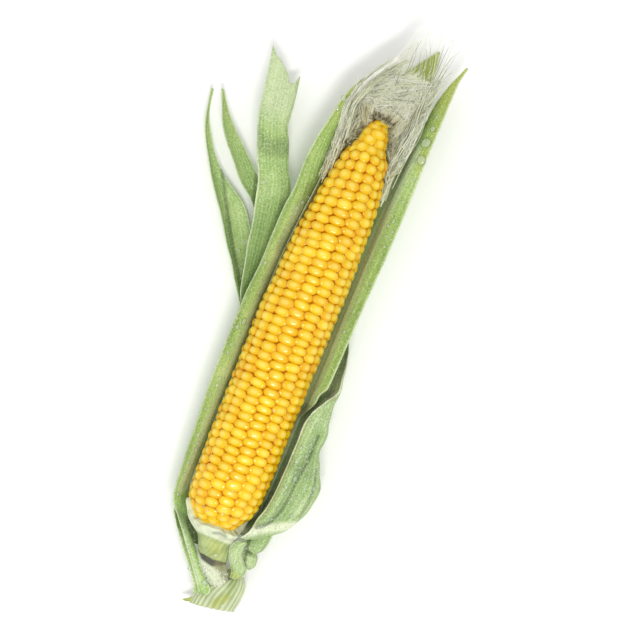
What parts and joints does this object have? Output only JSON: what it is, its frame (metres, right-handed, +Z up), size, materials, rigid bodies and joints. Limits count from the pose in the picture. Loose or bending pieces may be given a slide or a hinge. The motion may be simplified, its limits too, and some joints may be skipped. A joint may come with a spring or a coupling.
{
  "type": "corn cob",
  "caption": "Ear of sweet corn lying on its back, husk leaves opened round bare yellow kernels, silk tuft at the tip, torn shank at the bottom.",
  "frame": {"origin": "on the flat resting spot of the outermost husk leaf, under the ear's axis, midway along the kernels", "axes": "+Y along the ear towards the silk, +Z up through the bare kernels, +X to the right seen from above with the silk at the top"},
  "size_m": [0.1218, 0.3016, 0.0424],
  "materials": {
    "kernel": "glossy moist kernels, yellow with orange between them",
    "stalk": "matte green stalk with white torn pith",
    "husk_green": "satin green leaf with fine lengthwise veins",
    "husk_pale": "satin pale cream-green inner leaf",
    "silk": "soft pale green-white strands",
    "water": "clear water drops"
  },
  "bodies": {
    "root": {"ear": "kernel", "shank": "stalk", "husk_inner": "husk_pale", "husk_left": "husk_green", "husk_right": "husk_green", "husk_back": "husk_green", "husk_crumpled": "husk_green", "leaf_wide": "husk_green", "leaf_narrow": "husk_green", "leaf_folded": "husk_green", "base_curl": "husk_green", "base_lobe": "husk_green", "silk": "silk"}
  },
  "joints": []
}
